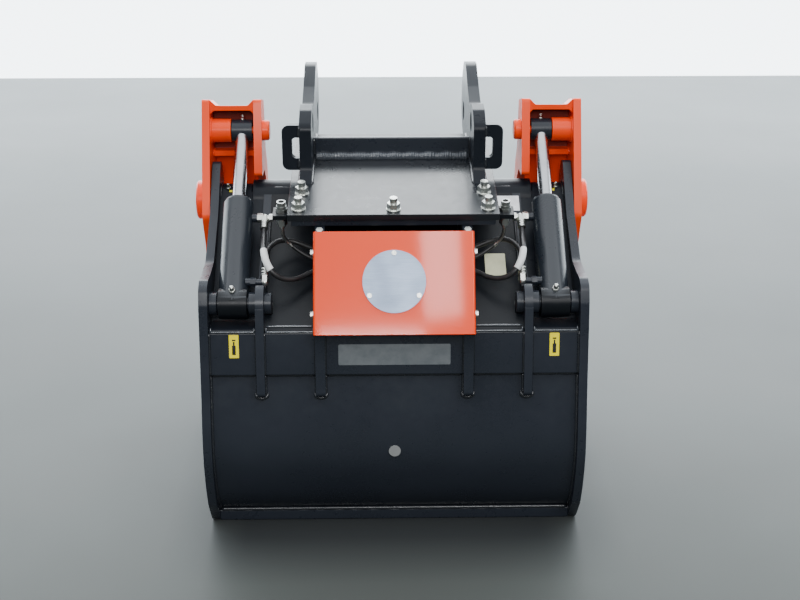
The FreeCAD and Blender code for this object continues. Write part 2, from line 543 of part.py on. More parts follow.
# ---- arms -----------------------------------------------------------------------------------------
arm_o = [(417, 866, 8), (338, 661, 40), (323, 622, 20), (357, 545, 20), (350, 470, 60), (392, 372, 45), (470, 340, 60), (545, 380, 60), (540, 470, 80), (530, 560, 60), (522, 650, 30), (512, 698, 20), (485, 740, 20), (484, 849, 8)]
holes = [(R[0], R[1], 15.04, "dims.rodpin_r + 0.04"), (P[0], P[1], 20.03, "dims.pivot_pin_r + 0.03")]
pair("arm_outer", arm_o, D["arm_outer_x"], D["arm_outer_t"], holes, "arm_outer_x", "arm_outer_t")
arm_i = [(417, 866, 8), (375, 700, 8), (440, 700, 20), (500, 640, 10), (524, 640, 10), (514, 698, 20), (486, 740, 20), (484, 849, 8)]
pair("arm_inner", arm_i, D["arm_inner_x"], D["arm_inner_t"], holes[:1], "arm_inner_x", "arm_inner_t")
for sgn, nm in ((1, "right"), (-1, "left")):
    bx = prism([(419, 840), (419, 851.5), (481, 838), (481, 735), (510, 694), (517, 648), (506, 648), (499.5, 690), (471, 729), (470, 731), (444, 731), (444, 743), (470, 743), (470, 828)], 306.2, 95.6)
    for x0, dx in ((401.8, -1), (306.2, 1)):
        for z0, dz, w, run in ((851.4, 1, 13, 62), (840.1, -1, 8, 10)):
            tri = Part.Face(Part.makePolygon([V(x0, 419, z0), V(x0 + dx * w, 419, z0), V(x0, 419, z0 + dz * w), V(x0, 419, z0)]))
            bx = bx.fuse(tri.extrude(V(0, run, -13.5 * run / 62)))
    bsz = cyl((357, R[0], R[1]), (1, 0, 0), 26, 44.8, 15.04)
    box = bx.fuse(bsz).fuse(Part.makeBox(44.8, 34, 14, V(357, R[0] + 14, R[1] - 7)).cut(cyl((350, R[0], R[1]), (1, 0, 0), 16, 60)))
    if sgn < 0:
        box = box.mirror(V(0, 0, 0), V(1, 0, 0))
    feature("arm_box_" + nm, box.removeSplitter())
    prof = [(272.5, 0), (272.5, 19.5), (275.5, 22.5), (287.8, 22.5), (287.8, 15.0), (306.5, 15.0), (306.5, 8.5), (357.4, 8.5), (357.4, 15.0), (419.5, 15.0), (419.5, 0)]
    turned("rod_pin_" + nm, [(sgn * a, r) for a, r in prof][::sgn], at(*R))
    prof = [(311.5, 0), (311.5, 20.0), (419.2, 20.0), (419.2, 43), (434, 43), (437, 40), (437, 0)]
    turned("pivot_pin_" + nm, [(sgn * a, r) for a, r in prof][::sgn], at(*P))

# ---- jaw --------------------------------------------------------------------------------------------
js = [parting(0, 1.2), (760, 0), (764, 24, 10), (700, 150, 120), (600, 470, 160), (520, 565, 60), (447, 590, 10)] + arcpts(P, 64, 300, 252, 6) + [(P[0] + PART_DIR[0] * 64 + 1.2, P[1] + PART_DIR[1] * 64)]
pad = [(372, 470, 15), (398, 392, 30), (470, 352, 50), (530, 385, 50), (524, 470, 60), (492, 548, 30), (420, 556, 10), (384, 540, 10)]
jr = prism(js, 382, 18).fuse(prism(pad, 400, 2))
feature("jaw_side_right", jr)
feature("jaw_side_left", jr.mirror(V(0, 0, 0), V(1, 0, 0)))
plate("jaw_floor", [parting(0, 1.2), (718, 0), (718, 12), parting(12, 1.2)], -381.8, 763.6)
plate("cutting_edge", [(718.2, 0), (780, 0), (780, 4), (756, 20), (718.2, 20)], -381.8, 763.6)

doc.recompute()
bad = [o.Name for o in doc.Objects if any(s in ("Invalid", "Error") for s in o.State)]
if bad:
    raise SystemExit("failed objects: %s" % bad)
os.makedirs("parts", exist_ok=True)
names = set()
for b in BODIES:
    sh = b.Shape
    if sh.isNull() or not sh.isValid() or not sh.Solids:
        raise SystemExit("bad shape in " + b.Label)
    names.add(b.Label)
    sh.exportStep("parts/%s.step" % b.Label)
print(len(names), "nodes; stroke", round(BR, 2), "angle", round(math.degrees(ANG), 3))
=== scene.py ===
import bpy, bmesh, math, random
from mathutils import Matrix, Vector, noise


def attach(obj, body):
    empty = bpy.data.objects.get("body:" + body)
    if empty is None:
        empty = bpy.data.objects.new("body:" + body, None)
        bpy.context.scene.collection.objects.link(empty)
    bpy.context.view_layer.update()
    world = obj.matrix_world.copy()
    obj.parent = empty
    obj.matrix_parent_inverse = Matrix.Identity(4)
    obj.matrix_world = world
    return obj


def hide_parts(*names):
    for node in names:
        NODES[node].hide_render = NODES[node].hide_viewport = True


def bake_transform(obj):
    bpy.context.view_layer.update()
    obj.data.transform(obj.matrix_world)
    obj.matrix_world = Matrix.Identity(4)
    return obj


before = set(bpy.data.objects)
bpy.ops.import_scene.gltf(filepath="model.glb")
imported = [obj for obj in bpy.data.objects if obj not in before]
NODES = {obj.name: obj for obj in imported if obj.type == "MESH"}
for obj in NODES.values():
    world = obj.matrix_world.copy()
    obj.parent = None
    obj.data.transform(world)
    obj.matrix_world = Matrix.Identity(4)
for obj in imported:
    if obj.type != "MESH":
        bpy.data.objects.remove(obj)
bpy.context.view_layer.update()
HALF = 390.73
random.seed(7)
COL = bpy.context.scene.collection


def S(x, y, z):
    """Side-frame millimetres (x across, y from the shell's back, z up) to row metres."""
    return Vector((x / 1000.0, (y - HALF) / 1000.0, z / 1000.0))


# ------------------------------------------------------------------ camera, floor, light
cam_d = bpy.data.cameras.new("camera")
cam_d.lens = 58.5
cam_d.sensor_width = 36.0
cam_d.clip_end = 60
cam = bpy.data.objects.new("camera", cam_d)
cam.location = S(-34.0, -2421, 1479.4)
cam.rotation_euler = (math.radians(69.0), 0.0, math.radians(-1.053))
COL.objects.link(cam)
bpy.context.scene.camera = cam


# ------------------------------------------------------------------ material helpers
def mat(name):
    m = bpy.data.materials.new(name)
    m.use_nodes = True
    nt = m.node_tree
    b = next(n for n in nt.nodes if n.type == "BSDF_PRINCIPLED")
    return m, nt, b


def node(nt, kind, **kw):
    n = nt.nodes.new(kind)
    for k, v in kw.items():
        setattr(n, k, v)
    return n


def coords(nt, scale=(1, 1, 1)):
    tc = node(nt, "ShaderNodeTexCoord")
    mp = node(nt, "ShaderNodeMapping")
    mp.inputs["Scale"].default_value = scale
    nt.links.new(tc.outputs["Object"], mp.inputs["Vector"])
    return mp.outputs["Vector"]


def noise_tex(nt, vec, scale, detail=3.0, rough=0.55):
    n = node(nt, "ShaderNodeTexNoise")
    n.inputs["Scale"].default_value = scale
    n.inputs["Detail"].default_value = detail
    n.inputs["Roughness"].default_value = rough
    nt.links.new(vec, n.inputs["Vector"])
    return n.outputs["Fac"]


def ramp(nt, fac, stops):
    r = node(nt, "ShaderNodeValToRGB")
    e = r.color_ramp.elements
    while len(e) < len(stops):
        e.new(0.5)
    for i, (p, c) in enumerate(stops):
        e[i].position = p
        e[i].color = (*c, 1) if len(c) == 3 else c
    nt.links.new(fac, r.inputs["Fac"])
    return r.outputs["Color"]


def maprange(nt, fac, lo, hi, a=0.0, b=1.0):
    n = node(nt, "ShaderNodeMapRange")
    n.inputs["From Min"].default_value = a
    n.inputs["From Max"].default_value = b
    n.inputs["To Min"].default_value = lo
    n.inputs["To Max"].default_value = hi
    nt.links.new(fac, n.inputs["Value"])
    return n.outputs["Result"]


def bump(nt, b, height, strength, dist, prev=None):
    n = node(nt, "ShaderNodeBump")
    n.inputs["Strength"].default_value = strength
    n.inputs["Distance"].default_value = dist
    nt.links.new(height, n.inputs["Height"])
    if prev is not None:
        nt.links.new(prev, n.inputs["Normal"])
    nt.links.new(n.outputs["Normal"], b.inputs["Normal"])
    return n.outputs["Normal"]


def paint(name, dark, light, r0, r1, coat=0.0, peel=0.05, dust=0.0):
    """Powder coat: slow colour drift, uneven gloss, orange peel, a little dust on upward faces."""
    m, nt, b = mat(name)
    v = coords(nt)
    slow = noise_tex(nt, v, 5.0, 4.0, 0.6)
    mid = noise_tex(nt, v, 60.0, 4.0, 0.6)
    fine = noise_tex(nt, v, 420.0, 2.0, 0.5)
    col = ramp(nt, slow, [(0.25, dark), (0.75, light)])
    if dust > 0:
        geo = node(nt, "ShaderNodeNewGeometry")
        sep = node(nt, "ShaderNodeSeparateXYZ")
        nt.links.new(geo.outputs["Normal"], sep.inputs["Vector"])
        up = maprange(nt, sep.outputs["Z"], 0.0, dust, 0.2, 1.0)
        mul = node(nt, "ShaderNodeMath", operation="MULTIPLY")
        nt.links.new(up, mul.inputs[0])
        nt.links.new(maprange(nt, mid, 0.35, 1.0, 0.3, 0.75), mul.inputs[1])
        mix = node(nt, "ShaderNodeMix", data_type="RGBA")
        nt.links.new(mul.outputs[0], mix.inputs["Factor"])
        nt.links.new(col, mix.inputs[6])
        mix.inputs[7].default_value = (0.24, 0.24, 0.235, 1)
        col = mix.outputs[2]
    nt.links.new(col, b.inputs["Base Color"])
    add = node(nt, "ShaderNodeMath", operation="ADD")
    nt.links.new(maprange(nt, slow, r0, r1, 0.3, 0.7), add.inputs[0])
    nt.links.new(maprange(nt, mid, -0.03, 0.05, 0.3, 0.75), add.inputs[1])
    nt.links.new(add.outputs[0], b.inputs["Roughness"])
    if coat:
        b.inputs["Coat Weight"].default_value = coat
        b.inputs["Coat Roughness"].default_value = 0.12
    n1 = bump(nt, b, fine, peel, 0.0006)
    bump(nt, b, mid, peel * 0.7, 0.0012, n1)
    return m


def metal(name, colour, r0, r1, stretch=(1, 1, 1), scale=260.0, bumps=0.05, metallic=1.0, tint=None):
    m, nt, b = mat(name)
    v = coords(nt, stretch)
    n = noise_tex(nt, v, scale, 3.0, 0.6)
    slow = noise_tex(nt, coords(nt), 28.0, 3.0, 0.6)
    c2 = tint or tuple(x * 0.72 for x in colour)
    nt.links.new(ramp(nt, slow, [(0.3, c2), (0.7, colour)]), b.inputs["Base Color"])
    b.inputs["Metallic"].default_value = metallic
    nt.links.new(maprange(nt, n, r0, r1, 0.3, 0.7), b.inputs["Roughness"])
    bump(nt, b, n, bumps, 0.0003)
    return m


M = {}
M["charcoal"] = paint("charcoal_paint", (0.0142, 0.0180, 0.0255), (0.0185, 0.0230, 0.0320), 0.25, 0.33, coat=0.0, peel=0.05, dust=0.003)
M["charcoal"].node_tree.nodes["Principled BSDF"].inputs["Specular IOR Level"].default_value = 0.36
M["plate"] = paint("charcoal_plate", (0.0066, 0.0084, 0.0118), (0.0092, 0.0114, 0.0154), 0.25, 0.33, coat=0.12, peel=0.03, dust=0.004)
M["plate"].node_tree.nodes["Principled BSDF"].inputs["Specular IOR Level"].default_value = 0.40
M["weld"] = paint("painted_weld", (0.013, 0.015, 0.019), (0.019, 0.022, 0.027), 0.20, 0.28, coat=0.25, peel=0.10)
# lighter, glossier copy of the weld paint for the beam edge and cross bar beads: the gloss is real, the lighter
# colour is a painted highlight
M["heavy_weld"] = paint("painted_heavy_weld", (0.045, 0.052, 0.062), (0.065, 0.074, 0.088), 0.14, 0.22, coat=0.9, peel=0.08)
# darker copy of the charcoal paint for the hitch ears, ear bosses, lifting eyes, wells, cross tube and pivot bosses:
# painted shade
M["ear"] = paint("charcoal_shaded_ears", (0.0080, 0.0104, 0.0150), (0.0110, 0.0140, 0.0195), 0.27, 0.35, coat=0.0, peel=0.04, dust=0.003)
M["ear"].node_tree.nodes["Principled BSDF"].inputs["Specular IOR Level"].default_value = 0.16
# darker orange for the inner web of the arm box: painted shade in the recess
M["orange_deep"] = paint("orange_painted_shade_inner", (0.16, 0.008, 0.001), (0.24, 0.014, 0.002), 0.45, 0.6, coat=0.0, peel=0.03)
M["barrel"] = paint("charcoal_barrel", (0.0125, 0.0165, 0.0225), (0.0160, 0.0205, 0.0275), 0.25, 0.33, coat=0.05, peel=0.04, dust=0.003)
# darker copy of the charcoal paint: painted shade on the back plate under the hitch plate, the coupler brackets, the
# manifold block and the barrels' base eyes
M["charcoal_painted_shade"] = paint("charcoal_shaded_copy", (0.0040, 0.0054, 0.0078), (0.0058, 0.0076, 0.0104), 0.28, 0.36, coat=0.0, peel=0.05, dust=0.002)
M["charcoal_painted_shade"].node_tree.nodes["Principled BSDF"].inputs["Specular IOR Level"].default_value = 0.24
M["orange"] = paint("orange_cover", (0.97, 0.052, 0.001), (1.0, 0.070, 0.003), 0.30, 0.40, coat=0.7, peel=0.02)
M["orange"].node_tree.nodes["Principled BSDF"].inputs["Coat Roughness"].default_value = 0.07
M["orange"].node_tree.nodes["Principled BSDF"].inputs["Specular IOR Level"].default_value = 0.15
M["orange_arm"] = paint("orange_arms", (0.96, 0.054, 0.001), (1.0, 0.074, 0.004), 0.34, 0.44, coat=0.35, peel=0.03)
M["orange_arm"].node_tree.nodes["Principled BSDF"].inputs["Coat Roughness"].default_value = 0.20
M["orange_arm"].node_tree.nodes["Principled BSDF"].inputs["Specular IOR Level"].default_value = 0.15
M["zinc"] = metal("zinc_plate", (0.70, 0.71, 0.68), 0.22, 0.42, scale=320.0, tint=(0.52, 0.54, 0.50))
M["chrome"] = metal("hard_chrome", (0.50, 0.51, 0.53), 0.20, 0.30, stretch=(1, 1, 1), scale=500.0, bumps=0.02, tint=(0.42, 0.43, 0.45))
M["coupler"] = metal("coupler_steel", (0.40, 0.41, 0.40), 0.30, 0.46, scale=300.0, tint=(0.30, 0.31, 0.30))
M["alu"] = metal("aluminium_plate", (0.80, 0.81, 0.82), 0.30, 0.5, stretch=(1, 14, 14), scale=120.0, bumps=0.08)
M["plug"] = metal("dull_plug", (0.30, 0.31, 0.31), 0.5, 0.6, bumps=0.02, metallic=0.2, tint=(0.26, 0.27, 0.27))
M["black_metal"] = paint("black_fitting", (0.010, 0.010, 0.011), (0.018, 0.018, 0.020), 0.32, 0.45, peel=0.05)


def brushed_disc():
    m, nt, b = mat("brushed_disc_steel")
    v = coords(nt, (6, 260, 260))
    n = noise_tex(nt, v, 4.0, 4.0, 0.7)
    s = noise_tex(nt, coords(nt), 18.0, 3.0, 0.5)
    nt.links.new(ramp(nt, n, [(0.3, (0.205, 0.265, 0.37)), (0.7, (0.28, 0.345, 0.455))]), b.inputs["Base Color"])
    b.inputs["Metallic"].default_value = 0.55
    nt.links.new(maprange(nt, s, 0.34, 0.46, 0.3, 0.7), b.inputs["Roughness"])
    bump(nt, b, n, 0.12, 0.0002)
    return m


M["disc"] = brushed_disc()


def rubber():
    m, nt, b = mat("hose_rubber")
    v = coords(nt)
    w = noise_tex(nt, v, 900.0, 2.0, 0.5)
    s = noise_tex(nt, v, 70.0, 3.0, 0.5)
    nt.links.new(ramp(nt, s, [(0.3, (0.010, 0.010, 0.011)), (0.7, (0.020, 0.020, 0.021))]), b.inputs["Base Color"])
    nt.links.new(maprange(nt, s, 0.34, 0.55, 0.3, 0.7), b.inputs["Roughness"])
    bump(nt, b, w, 0.25, 0.0003)
    return m


M["rubber"] = rubber()


def plain(name, c0, c1, rough, scale=60.0, peel=0.03, coat=0.0):
    m, nt, b = mat(name)
    v = coords(nt)
    s = noise_tex(nt, v, scale, 4.0, 0.6)
    nt.links.new(ramp(nt, s, [(0.3, c0), (0.7, c1)]), b.inputs["Base Color"])
    nt.links.new(maprange(nt, s, rough - 0.06, rough + 0.08, 0.3, 0.7), b.inputs["Roughness"])
    if coat:
        b.inputs["Coat Weight"].default_value = coat
    bump(nt, b, s, peel, 0.0005)
    return m


M["yellow"] = plain("yellow_vinyl", (0.97, 0.80, 0.006), (1.0, 0.86, 0.010), 0.5, coat=0.0)
M["yellow"].node_tree.nodes["Principled BSDF"].inputs["Specular IOR Level"].default_value = 0.15
M["ink"] = plain("black_ink", (0.010, 0.010, 0.010), (0.018, 0.018, 0.018), 0.4)
M["sleeve"] = plain("white_sleeve", (0.68, 0.70, 0.70), (0.82, 0.83, 0.82), 0.42, scale=240.0, peel=0.12)
M["strip"] = plain("grey_strip", (0.105, 0.120, 0.130), (0.135, 0.150, 0.160), 0.38, coat=0.3)
M["blank_label"] = plain("blank_label", (0.62, 0.63, 0.42), (0.72, 0.73, 0.50), 0.4, coat=0.2)

# ------------------------------------------------------------------ CAD nodes: materials, soft edges
FINISH = {}
for n in NODES:
    if n.startswith("valve_cover"):
        FINISH[n] = "orange"
    elif n.startswith(("arm_", "rod_pin", "pivot_pin")):
        FINISH[n] = "orange_arm"
    elif n.startswith(("barrel_", "gland_")):
        FINISH[n] = "barrel"
    elif n.startswith("back_plate"):
        FINISH[n] = "charcoal_painted_shade"
    elif n.startswith("piston_rod"):
        FINISH[n] = "chrome"
    elif n.startswith("quick_"):
        FINISH[n] = "coupler"
    elif n.startswith(("port_", "manifold_fittings", "feed_", "shell_grease", "hitch_fasteners", "cover_screws", "valve_cartridges")):
        FINISH[n] = "zinc"
    elif n.startswith("data_plate"):
        FINISH[n] = "alu"
    elif n.startswith("cover_disc"):
        FINISH[n] = "disc"
    elif n.startswith("hose_"):
        FINISH[n] = "rubber"
    elif n.startswith(("coupler_brackets", "manifold_block")):
        FINISH[n] = "charcoal_painted_shade"
    elif n == "drain_plug":
        FINISH[n] = "plug"
    elif n == "hitch_plate":
        FINISH[n] = "plate"
    elif n.startswith(("hitch_ear", "ear_bosses", "lifting_eyes", "cylinder_wells", "cross_tube", "pivot_bosses")):
        FINISH[n] = "ear"
    else:
        FINISH[n] = "charcoal"
BEVEL = {"hitch_plate": 1.0, "hitch_ear_left": 1.6, "hitch_ear_right": 1.6, "side_plate_left": 1.5, "side_plate_right": 1.5, "valve_cover": 0.9,
         "cover_disc": 0.5, "cover_screws": 0.6, "data_plate": 0.2, "shell_skin": 0.4, "rear_blade": 1.5, "box_beam": 1.2,
         "hitch_fasteners": 0.6, "quick_couplers": 0.5, "manifold_fittings": 0.5, "port_fittings_left": 0.5, "port_fittings_right": 0.5,
         "feed_pipes": 0.2, "shell_grease_nipples": 0.3, "piston_rod_left": 0.8, "piston_rod_right": 0.8, "cutting_edge": 0.6,
         "base_pin_spacers": 1.2, "base_pins": 1.5, "barrel_left": 1.6, "barrel_right": 1.6, "lifting_eyes": 1.6, "drain_plug": 0.6}


def soften(o, width, seg=2, angle=32):
    me = o.data
    if "custom_normal" in me.attributes:
        me.attributes.remove(me.attributes["custom_normal"])
    me.polygons.foreach_set("use_smooth", [True] * len(me.polygons))
    w = o.modifiers.new("weld_points", "WELD")
    w.merge_threshold = 0.00002
    b = o.modifiers.new("soft_edges", "BEVEL")
    b.width = width / 1000.0
    b.segments = seg
    b.limit_method = "ANGLE"
    b.angle_limit = math.radians(angle)
    b.harden_normals = True
    b.use_clamp_overlap = True


ax = Vector((0, math.cos(math.radians(40.658)), math.sin(math.radians(40.658))))
root = Vector((0, (97.0 - HALF) / 1000, 0.507))
for n, o in NODES.items():
    o.data.materials.clear()
    o.data.materials.append(M[FINISH[n]])
    if n.startswith("hose_"):
        continue
    soften(o, BEVEL.get(n, 1.2))
    if n.startswith("piston_rod"):
        # the eye at the rod's end is painted dark, the rod itself is chromed
        o.data.materials.append(M["charcoal"])
        for pf in o.data.polygons:
            if (o.matrix_world @ pf.center - root).dot(ax) > 0.4140:
                pf.material_index = 1
    if n.startswith("port_fittings"):
        # the stub next to the barrel is painted with it, the rest is zinc plated
        o.data.materials.append(M["charcoal"])
        for pf in o.data.polygons:
            c = o.matrix_world @ pf.center
            if abs(c.x) > (0.290 if c.z > 0.60 else 0.277):
                pf.material_index = 1
    if n.startswith("arm_box"):
        # painted shade: the inner web face of the box, which lies in shade in the recess, gets the darker orange
        o.data.materials.append(M["orange_deep"])
        for pf in o.data.polygons:
            c = o.matrix_world @ pf.center
            y = c.y * 1000 + HALF
            if 0.744 < c.z < 0.829 and 466 < y < 474 and 0.3065 < abs(c.x) < 0.4015:
                pf.material_index = 1
    if n.startswith("barrel_"):
        # painted shade: the base eye, below and on either side of the barrel, gets the darker charcoal copy,
        # standing in for the shade under the barrel's lit top
        o.data.materials.append(M["charcoal_painted_shade"])
        for pf in o.data.polygons:
            c = o.matrix_world @ pf.center - root
            a = c.dot(ax)
            d = math.hypot(c.y, c.z)
            if a < -0.004 or (abs(d - 0.032) < 0.0012 and abs(abs(c.x) - 0.333) > 0.020):
                pf.material_index = 1
    if n == "feed_pipes":
        o.data.materials.append(M["rubber"])
        for pf in o.data.polygons:
            if abs((o.matrix_world @ pf.center).x) < 0.214:
                pf.material_index = 1

# ------------------------------------------------------------------ mesh helpers


def link(name, verts, faces, material, body, smooth=True):
    me = bpy.data.meshes.new(name)
    me.from_pydata([tuple(v) for v in verts], [], faces)
    me.validate()
    bm = bmesh.new()
    bm.from_mesh(me)
    bmesh.ops.recalc_face_normals(bm, faces=bm.faces)
    bm.to_mesh(me)
    bm.free()
    me.polygons.foreach_set("use_smooth", [smooth] * len(me.polygons))
    me.materials.append(material)
    o = bpy.data.objects.new(name, me)
    COL.objects.link(o)
    if body:
        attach(o, body)
    return o


def ring_frames(pts):
    """Steady frames along a line of points."""
    out = []
    up = None
    for i, p in enumerate(pts):
        a = pts[max(0, i - 1)]
        b = pts[min(len(pts) - 1, i + 1)]
        t = (b - a).normalized()
        if up is None:
            up = Vector((0, 0, 1)) if abs(t.z) < 0.9 else Vector((1, 0, 0))
        up = (up - t * up.dot(t))
        up.normalize()
        out.append((p, t, up.copy(), t.cross(up)))
    return out


def resample(pts, step):
    pts = [Vector(p) for p in pts]
    out = [pts[0].copy()]
    for a, b in zip(pts, pts[1:]):
        n = max(1, int(round((b - a).length / step)))
        for i in range(1, n + 1):
            out.append(a.lerp(b, i / n))
    return out


def tube_data(pts, radius, sides=10, caps=True, rad_fn=None):
    verts, faces = [], []
    fr = ring_frames(pts)
    s = 0.0
    for i, (p, t, u, w) in enumerate(fr):
        if i:
            s += (fr[i][0] - fr[i - 1][0]).length
        r = rad_fn(s, i, len(fr)) if rad_fn else radius
        for k in range(sides):
            a = 2 * math.pi * k / sides
            verts.append(p + u * (r * math.cos(a)) + w * (r * math.sin(a)))
    for i in range(len(fr) - 1):
        for k in range(sides):
            a, b = i * sides + k, i * sides + (k + 1) % sides
            faces.append((a, b, b + sides, a + sides))
    if caps:
        faces.append(tuple(range(sides))[::-1])
        faces.append(tuple(range((len(fr) - 1) * sides, len(fr) * sides)))
    return verts, faces


class Pool:
    """Many small forms gathered in one piece."""
    def __init__(self):
        self.v, self.f = [], []

    def add(self, verts, faces):
        k = len(self.v)
        self.v += verts
        self.f += [tuple(i + k for i in f) for f in faces]

    def make(self, name, material, body, smooth=True):
        return link(name, self.v, self.f, material, body, smooth)


def weld(pool, pts, r, seed=0, pitch=0.0036, ripple=1.0):
    """A laid bead: overlapping ripples along a seam, slightly uneven, ends tapered."""
    pts = resample(pts, 0.0011)
    n = len(pts)
    rnd = random.Random(seed)
    ph = rnd.random() * 6.28

    def rad(s, i, m):
        q = s / pitch + 0.25 * math.sin(s * 90 + ph)
        saw = q - math.floor(q)
        k = 1.0 + ripple * (0.13 * (1 - saw) - 0.05 + 0.05 * math.sin(s * 160 + ph))
        e = min(i, m - 1 - i) / 4.0
        return r * k * (min(1.0, 0.45 + 0.55 * e) if e < 1 else 1.0)
    wob = [p + Vector((0, 0, 1)) * (0.10 * r * noise.noise(Vector((seed, i * 0.05, 0)))) for i, p in enumerate(pts)]
    v, f = tube_data(wob, r, 8, True, rad)
    pool.add(v, f)


def turned(pool, base, axis, prof, sides=24):
    """Turned form: profile of (height, radius) in millimetres from base along axis."""
    axis = Vector(axis).normalized()
    u = Vector((1, 0, 0)) if abs(axis.x) < 0.8 else Vector((0, 1, 0))
    u = (u - axis * u.dot(axis)).normalized()
    w = axis.cross(u)
    verts, faces = [], []
    for h, r in prof:
        for k in range(sides):
            a = 2 * math.pi * k / sides
            verts.append(base + axis * (h / 1000) + u * (r / 1000 * math.cos(a)) + w * (r / 1000 * math.sin(a)))
    for i in range(len(prof) - 1):
        for k in range(sides):
            a, b = i * sides + k, i * sides + (k + 1) % sides
            faces.append((a, b, b + sides, a + sides))
    faces.append(tuple(range(sides))[::-1])
    faces.append(tuple(range((len(prof) - 1) * sides, len(prof) * sides)))
    pool.add(verts, faces)


def nipple(pool, base, axis):
    turned(pool, base, axis, [(-1, 5.2), (3.2, 5.2), (3.6, 3.4), (6.0, 3.0), (6.8, 2.0), (7.6, 2.6), (9.2, 3.2), (10.6, 2.5), (11.0, 1.0)], 12)


def slab(name, centre, ux, uy, w, h, t, material, body, r=1.5):
    """A thin plate or sticker with rounded corners, lying on a surface; ux, uy are its in-plane axes."""
    ux, uy = Vector(ux).normalized(), Vector(uy).normalized()
    n = ux.cross(uy)
    out = []
    for cx, cy, a0 in ((1, 1, 0), (-1, 1, 90), (-1, -1, 180), (1, -1, 270)):
        for k in range(5):
            a = math.radians(a0 + 22.5 * k)
            out.append((cx * (w / 2 - r) + r * math.cos(a), cy * (h / 2 - r) + r * math.sin(a)))
    verts = []
    for z in (0.0, t):
        for x, y in out:
            verts.append(centre + (ux * x + uy * y + n * z) / 1000.0)
    k = len(out)
    faces = [tuple(range(k))[::-1], tuple(range(k, 2 * k))] + [(i, (i + 1) % k, k + (i + 1) % k, k + i) for i in range(k)]
    return link(name, verts, faces, material, body, False)


# ------------------------------------------------------------------ geometry shared with the frame
P, R, B = (405.0, 640.0), (430.0, 793.0), (97.0, 507.0)
ANG = math.atan2(R[1] - B[1], R[0] - B[0])
CA, SA = math.cos(ANG), math.sin(ANG)
TS = (math.cos(math.radians(32.9)), math.sin(math.radians(32.9)))
NS = (-TS[1], TS[0])
HS = math.radians(10.7)
HT, HN = (math.cos(HS), math.sin(HS)), (-math.sin(HS), math.cos(HS))
BELLY = [(96.0, 25.3), (80.0, 42.0), (53.0, 80.0), (35.5, 124.0), (23.0, 182.0), (27.5, 250.0), (42.0, 318.0), (56.0, 380.0), (66.0, 448.0)]


def hp(a, u):
    return (142.0 + a * HT[0] + u * HN[0], 684.0 + a * HT[1] + u * HN[1])


def bp(a, u=0.0):
    return (56.0 + a * TS[0] + u * NS[0], 462.0 + a * TS[1] + u * NS[1])


def cp(a, up, x):
    return S(x, B[0] + a * CA - up * SA, B[1] + a * SA + up * CA)


def belly_y(z):
    best = None
    sk = NODES["shell_skin"].data
    return BELLY_TAB[min(len(BELLY_TAB) - 1, max(0, int(round(z - 26))))]


def _belly_table():
    """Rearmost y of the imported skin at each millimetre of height."""
    pts = sorted({(round((v.co.z) * 1000, 2), round(v.co.y * 1000 + HALF, 3)) for v in NODES["shell_skin"].data.vertices})
    low = {}
    for z, y in pts:
        k = round(z, 1)
        if k not in low or y < low[k]:
            low[k] = y
    ks = sorted(low)
    tab = []
    outer = []
    # keep only outer-line points: those close to the known line
    for k in ks:
        ref = None
        for a, b in zip(BELLY, BELLY[1:]):
            if a[1] <= k <= b[1]:
                ref = a[0] + (b[0] - a[0]) * (k - a[1]) / (b[1] - a[1])
        if ref is not None and abs(low[k] - ref) < 5.5:
            outer.append((k, low[k]))
    for z in range(26, 449):
        prev = max((o for o in outer if o[0] <= z), default=outer[0])
        nxt = min((o for o in outer if o[0] >= z), default=outer[-1])
        f = 0 if nxt[0] == prev[0] else (z - prev[0]) / (nxt[0] - prev[0])
        tab.append(prev[1] + (nxt[1] - prev[1]) * f)
    return tab


BELLY_TAB = _belly_table()


def beam_y(z):
    return 41.0 + (z - 368.0) * 14.5 / 90.0


# ------------------------------------------------------------------ weld beads
wp = Pool()
seed = 1
for x in (143.0, 163.0, 268.0, 285.0):
    for sg in (1, -1):
        lo = [S(sg * x, belly_y(z) - 0.6, z) for z in range(324, 368, 3)]
        weld(wp, lo, 0.0032, seed); seed += 1
        weld(wp, [S(sg * x, beam_y(z) - 0.4, z) for z in (369, 400, 430, 457)], 0.0030, seed); seed += 1
for x0, x1 in ((143, 163), (268, 285)):
    for sg in (1, -1):
        xm = (x0 + x1) / 2
        arc = [S(sg * (xm + 12.5 * math.cos(math.radians(a))), belly_y(326 - 9 * math.sin(math.radians(a))) - 0.8, 326 - 9 * math.sin(math.radians(a))) for a in range(-10, 191, 10)]
        weld(wp, arc, 0.0046, seed); seed += 1
edge = Pool()
spans = [(-381, -286), (-267, -164), (-142, 142), (164, 267), (286, 381)]
for a, b in spans:
    weld(wp, [S(a, belly_y(366) - 1.0, 366.0), S(b, belly_y(366) - 1.0, 366.0)], 0.0046, seed); seed += 1
    weld(wp, [S(a, 56.4, 459.4), S(b, 56.4, 459.4)], 0.0030, seed); seed += 1
    weld(edge, [S(a + 3, 56.8, 468), S(a + 3, 55.6, 459.6), S(b - 3, 55.6, 459.6), S(b - 3, 56.8, 468)], 0.0024, seed, 0.0036, 0.5); seed += 1
    if abs(a) < 285 and abs(b) < 285:
        weld(edge, [S(a + 3, *bp(10.5, 1.0)), S(b - 3, *bp(10.5, 1.0))], 0.0022, seed, 0.0036, 0.5); seed += 1
weld(wp, [S(-380, 88.5, 27.0), S(380, 88.5, 27.0)], 0.0044, seed); seed += 1
